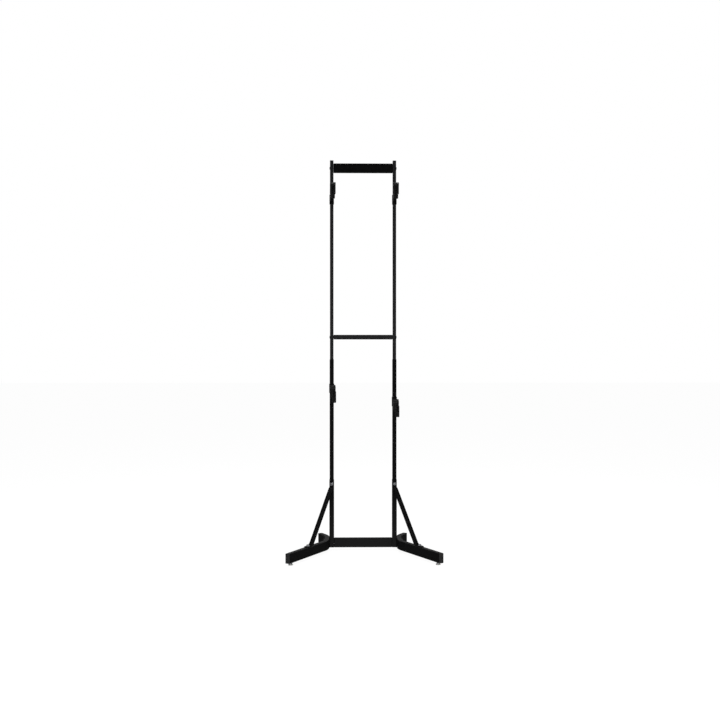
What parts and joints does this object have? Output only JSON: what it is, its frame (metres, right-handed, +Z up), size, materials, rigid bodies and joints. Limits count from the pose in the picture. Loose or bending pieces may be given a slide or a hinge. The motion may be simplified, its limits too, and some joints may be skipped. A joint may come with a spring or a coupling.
{
  "type": "two tier bike rack",
  "caption": "Free-standing steel bicycle rack: telescoping uprights on splayed feet with levelling pads, and sliding arms with rubber-coated cradles and straps.",
  "frame": {"origin": "on the floor, under the middle of the rack's outline", "axes": "+Z up, the arms point towards -Y, +X to the right seen from the arms' side"},
  "size_m": [0.7902, 0.5504, 2.1083],
  "materials": {
    "lower_paint": "black powder coat, satin",
    "upper_paint": "black powder coat, slightly lighter and more matt",
    "zinc_steel": "zinc-plated steel",
    "black_steel": "blackened steel",
    "black_plastic": "moulded black nylon",
    "glide_nylon": "natural nylon",
    "cradle_coating": "soft dipped rubber",
    "strap_rubber": "moulded rubber"
  },
  "bodies": {
    "frame": {"base_beam": "lower_paint", "cross_bar": "upper_paint", "sign_plate": "lower_paint", "left_foot": "lower_paint", "left_lower_upright": "lower_paint", "left_upper_upright": "upper_paint", "left_brace": "lower_paint", "left_upright_cap": "black_plastic", "left_front_foot_cap": "black_plastic", "left_rear_foot_cap": "black_plastic", "left_base_bolt_1": "black_steel", "left_base_bolt_2": "black_steel", "left_cross_bar_bolt": "black_steel", "left_sign_plate_bolt": "black_steel", "left_brace_upper_bolt": "zinc_steel", "left_brace_lower_bolt": "zinc_steel", "left_joint_bolt": "black_steel", "right_foot": "lower_paint", "right_lower_upright": "lower_paint", "right_upper_upright": "upper_paint", "right_brace": "lower_paint", "right_upright_cap": "black_plastic", "right_front_foot_cap": "black_plastic", "right_rear_foot_cap": "black_plastic", "right_base_bolt_1": "black_steel", "right_base_bolt_2": "black_steel", "right_cross_bar_bolt": "black_steel", "right_sign_plate_bolt": "black_steel", "right_brace_upper_bolt": "zinc_steel", "right_brace_lower_bolt": "zinc_steel", "right_joint_bolt": "black_steel"},
    "upper_left_arm": {"upper_left_arm": "lower_paint", "upper_left_cradle": "cradle_coating", "upper_left_strap_pin": "zinc_steel"},
    "upper_left_knob": {"upper_left_clamp_knob": "black_plastic"},
    "upper_left_strap": {"upper_left_strap": "strap_rubber"},
    "upper_right_arm": {"upper_right_arm": "lower_paint", "upper_right_cradle": "cradle_coating", "upper_right_strap_pin": "zinc_steel"},
    "upper_right_knob": {"upper_right_clamp_knob": "black_plastic"},
    "upper_right_strap": {"upper_right_strap": "strap_rubber"},
    "lower_left_arm": {"lower_left_arm": "lower_paint", "lower_left_cradle": "cradle_coating", "lower_left_strap_pin": "zinc_steel"},
    "lower_left_knob": {"lower_left_clamp_knob": "black_plastic"},
    "lower_left_strap": {"lower_left_strap": "strap_rubber"},
    "lower_right_arm": {"lower_right_arm": "lower_paint", "lower_right_cradle": "cradle_coating", "lower_right_strap_pin": "zinc_steel"},
    "lower_right_knob": {"lower_right_clamp_knob": "black_plastic"},
    "lower_right_strap": {"lower_right_strap": "strap_rubber"},
    "left_front_leveler": {"left_front_leveler_stud": "zinc_steel", "left_front_leveler_pad": "glide_nylon"},
    "left_rear_leveler": {"left_rear_leveler_stud": "zinc_steel", "left_rear_leveler_pad": "glide_nylon"},
    "right_front_leveler": {"right_front_leveler_stud": "zinc_steel", "right_front_leveler_pad": "glide_nylon"},
    "right_rear_leveler": {"right_rear_leveler_stud": "zinc_steel", "right_rear_leveler_pad": "glide_nylon"}
  },
  "joints": [
    {"name": "upper_left_slide", "type": "slide", "parent": "frame", "child": "upper_left_arm", "axis": [0, 0, 1], "range_m": [-0.7, 0.115]},
    {"name": "upper_left_knob_turn", "type": "hinge", "parent": "upper_left_arm", "child": "upper_left_knob", "pos_m": [-0.17, 0.15905, 1.897], "axis": [0, 1, 0], "continuous": true},
    {"name": "upper_left_strap_swing", "type": "hinge", "parent": "upper_left_arm", "child": "upper_left_strap", "pos_m": [-0.15867, -0.2501, 1.91], "axis": [-0.9996, -0.0297, 0], "range_deg": [0, 165]},
    {"name": "upper_right_slide", "type": "slide", "parent": "frame", "child": "upper_right_arm", "axis": [0, 0, 1], "range_m": [-0.7, 0.115]},
    {"name": "upper_right_knob_turn", "type": "hinge", "parent": "upper_right_arm", "child": "upper_right_knob", "pos_m": [0.17, 0.15905, 1.897], "axis": [0, 1, 0], "continuous": true},
    {"name": "upper_right_strap_swing", "type": "hinge", "parent": "upper_right_arm", "child": "upper_right_strap", "pos_m": [0.15867, -0.2501, 1.91], "axis": [-0.9996, 0.0297, 0], "range_deg": [0, 165]},
    {"name": "lower_left_slide", "type": "slide", "parent": "frame", "child": "lower_left_arm", "axis": [0, 0, 1], "range_m": [-0.46, 0.09]},
    {"name": "lower_left_knob_turn", "type": "hinge", "parent": "lower_left_arm", "child": "lower_left_knob", "pos_m": [-0.17, 0.16065, 0.873], "axis": [0, 1, 0], "continuous": true},
    {"name": "lower_left_strap_swing", "type": "hinge", "parent": "lower_left_arm", "child": "lower_left_strap", "pos_m": [-0.15862, -0.2517, 0.886], "axis": [-0.9996, -0.0297, 0], "range_deg": [0, 165]},
    {"name": "lower_right_slide", "type": "slide", "parent": "frame", "child": "lower_right_arm", "axis": [0, 0, 1], "range_m": [-0.39, 0.16]},
    {"name": "lower_right_knob_turn", "type": "hinge", "parent": "lower_right_arm", "child": "lower_right_knob", "pos_m": [0.17, 0.16065, 0.801], "axis": [0, 1, 0], "continuous": true},
    {"name": "lower_right_strap_swing", "type": "hinge", "parent": "lower_right_arm", "child": "lower_right_strap", "pos_m": [0.15862, -0.2517, 0.814], "axis": [-0.9996, 0.0297, 0], "range_deg": [0, 165]},
    {"name": "left_front_leveler_slide", "type": "slide", "parent": "frame", "child": "left_front_leveler", "axis": [0, 0, -1], "range_m": [0, 0.012]},
    {"name": "left_rear_leveler_slide", "type": "slide", "parent": "frame", "child": "left_rear_leveler", "axis": [0, 0, -1], "range_m": [0, 0.012]},
    {"name": "right_front_leveler_slide", "type": "slide", "parent": "frame", "child": "right_front_leveler", "axis": [0, 0, -1], "range_m": [0, 0.012]},
    {"name": "right_rear_leveler_slide", "type": "slide", "parent": "frame", "child": "right_rear_leveler", "axis": [0, 0, -1], "range_m": [0, 0.012]}
  ]
}
